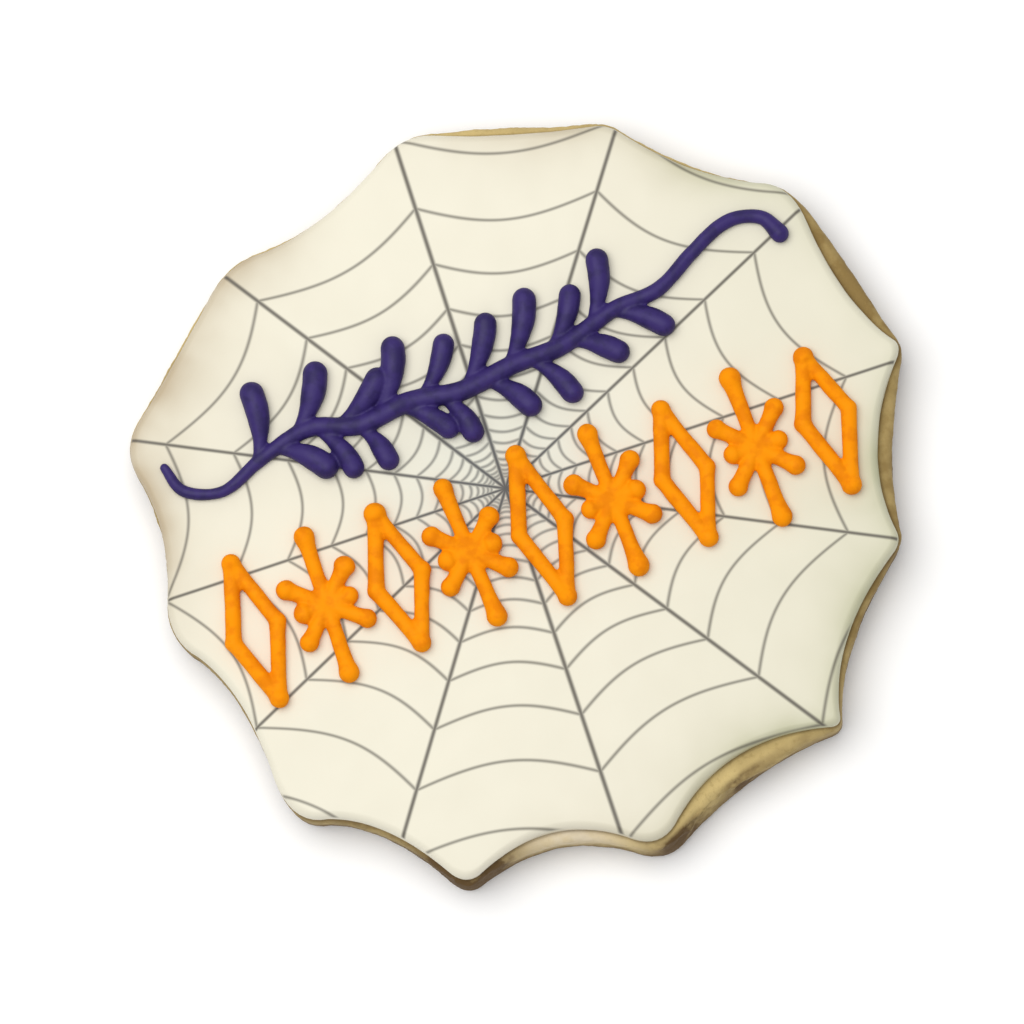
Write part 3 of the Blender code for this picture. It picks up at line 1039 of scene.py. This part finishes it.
def garland_strings(settings):
    """The stem and its leaves, which grow from it on alternate sides."""
    draw = random.Random(settings.seed)
    coarse = [point * MM for point in smooth_run(STEM, STEM_ROUGH_STEPS)]
    strings = [[point * MM for point in smooth_run(STEM, STEM_STEPS)]]
    for number in range(settings.leaves):
        share = settings.first + (settings.last - settings.first) * number / (settings.leaves - 1)
        whole, part = divmod(share * (len(coarse) - 1), 1.0)
        before = coarse[int(whole)]
        after = coarse[int(whole) + 1]
        root = before.lerp(after, part)
        along = after - before
        side = 1.0 if number % 2 == 0 else -1.0
        heading = math.atan2(along.y, along.x)
        heading += side * math.radians(settings.turn + draw.uniform(-LEAF_TURN_SPREAD, LEAF_TURN_SPREAD))
        length = settings.long_upper if side > 0.0 else settings.long_lower
        length *= spread(draw, LEAF_LONG_SPREAD)
        half = settings.leaf_half * spread(draw, LEAF_HALF_SPREAD)
        strings.append(leaf(root, heading, length, half, side * math.radians(settings.curl)))
    return strings


class COOKIE_OT_pipe_garland(bpy.types.Operator):
    """Pipe the purple garland: a stem with curled leaves on alternate sides."""

    bl_idname = "cookie.pipe_garland"
    bl_label = "Pipe Garland"

    def execute(self, context):
        cookie = context.scene.cookie
        settings = cookie.garland
        piece = pipe_piece("purple_garland", garland_strings(settings), cookie.piping)
        colours = (settings.purple, settings.deep)
        look = piping_look("purple_icing", *colours, settings.roughness, settings.shine)
        finish_piece(piece, look, "icing_purple", "garland")
        return {"FINISHED"}


def straight_string(start, end, start_half, end_half, half):
    """A string between two points with a blob of icing at each end."""
    knots = []
    widths = ((0.0, start_half), (BLOB_LONG, half), (1.0 - BLOB_LONG, half), (1.0, end_half))
    for share, width in widths:
        spot = start.lerp(end, share)
        knots.append(Vector((spot.x, spot.y, width)))
    return smooth_run(knots, STRING_STEPS)


def lozenge(centre, up, across, draw, settings):
    """Four strings from corner to corner of a tall lozenge."""
    tall = settings.half_tall * spread(draw, SIZE_SPREAD)
    wide = settings.half_wide * spread(draw, SIZE_SPREAD)
    corners = (
        centre + up * tall,
        centre + across * wide + up * tall * draw.uniform(-CORNER_SPREAD, CORNER_SPREAD),
        centre - up * tall,
        centre - across * wide + up * tall * draw.uniform(-CORNER_SPREAD, CORNER_SPREAD),
    )
    shares = (1.0, SIDE_BLOB, 1.0, SIDE_BLOB)
    blobs = [settings.blob_half * share * spread(draw, BLOB_SPREAD) for share in shares]
    strings = []
    for number, corner in enumerate(corners):
        following = (number + 1) % len(corners)
        half = settings.string_half * (1.0 + LATER_STRING * number)
        end_half = blobs[following] * LATER_BLOB
        strings.append(straight_string(corner, corners[following], blobs[number], end_half, half))
    return strings


def starburst(centre, up, across, draw, settings):
    """Strings that cross in one place, the upright one longest."""
    strings = []
    for number, (angle, reach) in enumerate(BURST_RAYS):
        turn = math.radians(angle + draw.uniform(-BURST_TURN_SPREAD, BURST_TURN_SPREAD))
        way = up * math.cos(turn) + across * math.sin(turn)
        reach *= spread(draw, SIZE_SPREAD)
        start_half = settings.blob_half * LATER_BLOB * spread(draw, BLOB_SPREAD)
        end_half = settings.blob_half * LATER_BLOB * spread(draw, BLOB_SPREAD)
        half = settings.string_half * (1.0 + LATER_STRING * number)
        ends = (centre - way * reach, centre + way * reach)
        strings.append(straight_string(*ends, start_half, end_half, half))
    return strings


class COOKIE_OT_pipe_row(bpy.types.Operator):
    """Pipe the orange row: lozenges and starbursts in turn along a rising line."""

    bl_idname = "cookie.pipe_row"
    bl_label = "Pipe Row"

    def execute(self, context):
        cookie = context.scene.cookie
        settings = cookie.row
        draw = random.Random(settings.seed)
        colours = (settings.orange, settings.amber)
        look = piping_look("orange_icing", *colours, settings.roughness, settings.shine)
        first = Vector(settings.first)
        last = Vector(settings.last)
        across = (last - first).normalized()
        up = Matrix.Rotation(math.pi / 2.0, 3, "Z") @ across
        for number in range(settings.count):
            centre = first.lerp(last, number / (settings.count - 1))
            motif = lozenge if number % 2 == 0 else starburst
            node = f"{motif.__name__}_{number // 2 + 1}"
            strings = motif(centre, up, across, draw, settings)
            piece = pipe_piece("orange_" + node, strings, cookie.piping)
            finish_piece(piece, look, "icing_orange", node)
        return {"FINISHED"}


def lay_floor(stage):
    """A wide pale floor with faint patches."""
    deselect_all()
    bpy.ops.mesh.primitive_plane_add(size=stage.floor_size, location=(0.0, 0.0, 0.0))
    floor = bpy.context.active_object
    floor.name = "pale_floor"
    recipe = Recipe("pale_floor")
    shade = recipe.ramp(recipe.noise(size=200.0 * MM, detail=2.0), low=0.3, high=0.7)
    tone = recipe.mix(shade, opaque(stage.floor_low), opaque(stage.floor_high))
    floor.data.materials.append(recipe.finish(tone, roughness=0.9, shine=0.1))


def light_room(stage):
    """A soft round lamp that faces the cookie, in an evenly lit room."""
    deselect_all()
    bpy.ops.object.light_add(type="AREA", location=stage.lamp_place)
    lamp = bpy.context.active_object
    lamp.name = "key_lamp"
    lamp.data.shape = "DISK"
    lamp.data.size = stage.lamp_size
    lamp.data.energy = stage.lamp_power
    lamp.data.color = stage.lamp_colour
    lamp.rotation_euler = Vector(stage.lamp_place).to_track_quat("Z", "Y").to_euler()
    world = bpy.data.worlds.new("soft_room")
    bpy.context.scene.world = world
    world.use_nodes = True
    background = world.node_tree.nodes["Background"]
    background.inputs["Color"].default_value = (1.0, 1.0, 1.0, 1.0)
    background.inputs["Strength"].default_value = stage.room_light


def set_camera(stage):
    """A camera that looks down at the cookie from near upright."""
    way = Vector((
        math.sin(stage.tilt) * math.cos(stage.side),
        math.sin(stage.tilt) * math.sin(stage.side),
        math.cos(stage.tilt),
    ))
    right = Vector((0.0, 1.0, 0.0)).cross(way).normalized()
    above = way.cross(right)
    deselect_all()
    bpy.ops.object.camera_add()
    camera = bpy.context.active_object
    camera.name = "picture_camera"
    turned = Matrix((right, above, way)).transposed().to_4x4()
    camera.matrix_world = Matrix.Translation(Vector(stage.aim) + way * stage.distance) @ turned
    camera.data.lens = stage.lens
    camera.data.sensor_width = stage.sensor
    camera.data.clip_start = 0.01
    camera.data.clip_end = 20.0
    bpy.context.scene.camera = camera
    bpy.context.scene.view_settings.view_transform = "Standard"


class COOKIE_OT_set_stage(bpy.types.Operator):
    """Set the stage: a pale floor, soft light and the camera."""

    bl_idname = "cookie.set_stage"
    bl_label = "Set Stage"

    def execute(self, context):
        stage = context.scene.cookie.stage
        lay_floor(stage)
        light_room(stage)
        set_camera(stage)
        return {"FINISHED"}


class COOKIE_PT_sidebar(bpy.types.Panel):
    """Lists the steps that make the cookie and its main settings."""

    bl_label = "Iced Web Cookie"
    bl_idname = "COOKIE_PT_sidebar"
    bl_space_type = "VIEW_3D"
    bl_region_type = "UI"
    bl_category = "Cookie"

    def draw(self, context):
        for step in STEPS:
            self.layout.operator(step.bl_idname)
        for name in ("biscuit", "icing", "web", "piping", "garland", "row", "stage"):
            group = getattr(context.scene.cookie, name)
            box = self.layout.box()
            box.label(text=name.title())
            for prop in type(group).__annotations__:
                box.prop(group, prop)


STEPS = (
    COOKIE_OT_bake_biscuit,
    COOKIE_OT_flood_icing,
    COOKIE_OT_pipe_garland,
    COOKIE_OT_pipe_row,
    COOKIE_OT_set_stage,
)
CLASSES = (
    BiscuitSettings,
    IcingSettings,
    WebSettings,
    PipingSettings,
    GarlandSettings,
    RowSettings,
    StageSettings,
    CookieSettings,
    *STEPS,
    COOKIE_PT_sidebar,
)


def register():
    for one in CLASSES:
        bpy.utils.register_class(one)
    bpy.types.Scene.cookie = PointerProperty(type=CookieSettings)


def unregister():
    del bpy.types.Scene.cookie
    for one in reversed(CLASSES):
        bpy.utils.unregister_class(one)


def main():
    register()
    bpy.ops.cookie.bake_biscuit()
    bpy.ops.cookie.flood_icing()
    bpy.ops.cookie.pipe_garland()
    bpy.ops.cookie.pipe_row()
    bpy.ops.cookie.set_stage()


if __name__ == "__main__":
    main()
